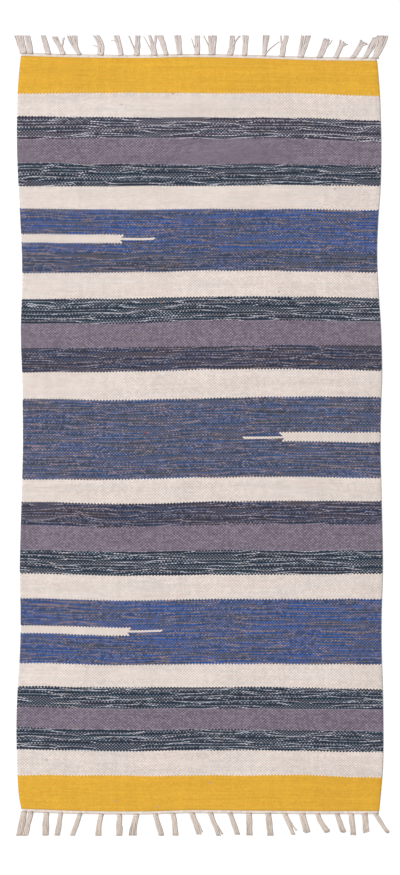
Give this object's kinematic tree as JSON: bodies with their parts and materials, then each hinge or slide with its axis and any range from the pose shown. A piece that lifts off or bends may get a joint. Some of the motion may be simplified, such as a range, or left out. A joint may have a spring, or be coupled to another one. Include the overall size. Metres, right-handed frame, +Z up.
{
  "type": "kilim rug",
  "caption": "Flat woven cotton kilim rug with cross stripes, small inlaid bars and a knotted fringe at both ends.",
  "frame": {"origin": "middle of the rug's whole footprint, fringes included, on the floor that it lies on", "axes": "+Y along the rug towards the end with the looser fringe, +X across it to the right seen from above, +Z up out of the floor"},
  "size_m": [0.73, 1.5578, 0.005],
  "materials": {
    "striped_cotton": "matte weft-faced cotton weave in bands of ochre, cream, mauve, marled indigo and marled blue",
    "undyed_cotton": "matte undyed plied cotton"
  },
  "bodies": {
    "root": {"rug_body": "striped_cotton", "fringe_top": "undyed_cotton", "fringe_bottom": "undyed_cotton"}
  },
  "joints": []
}
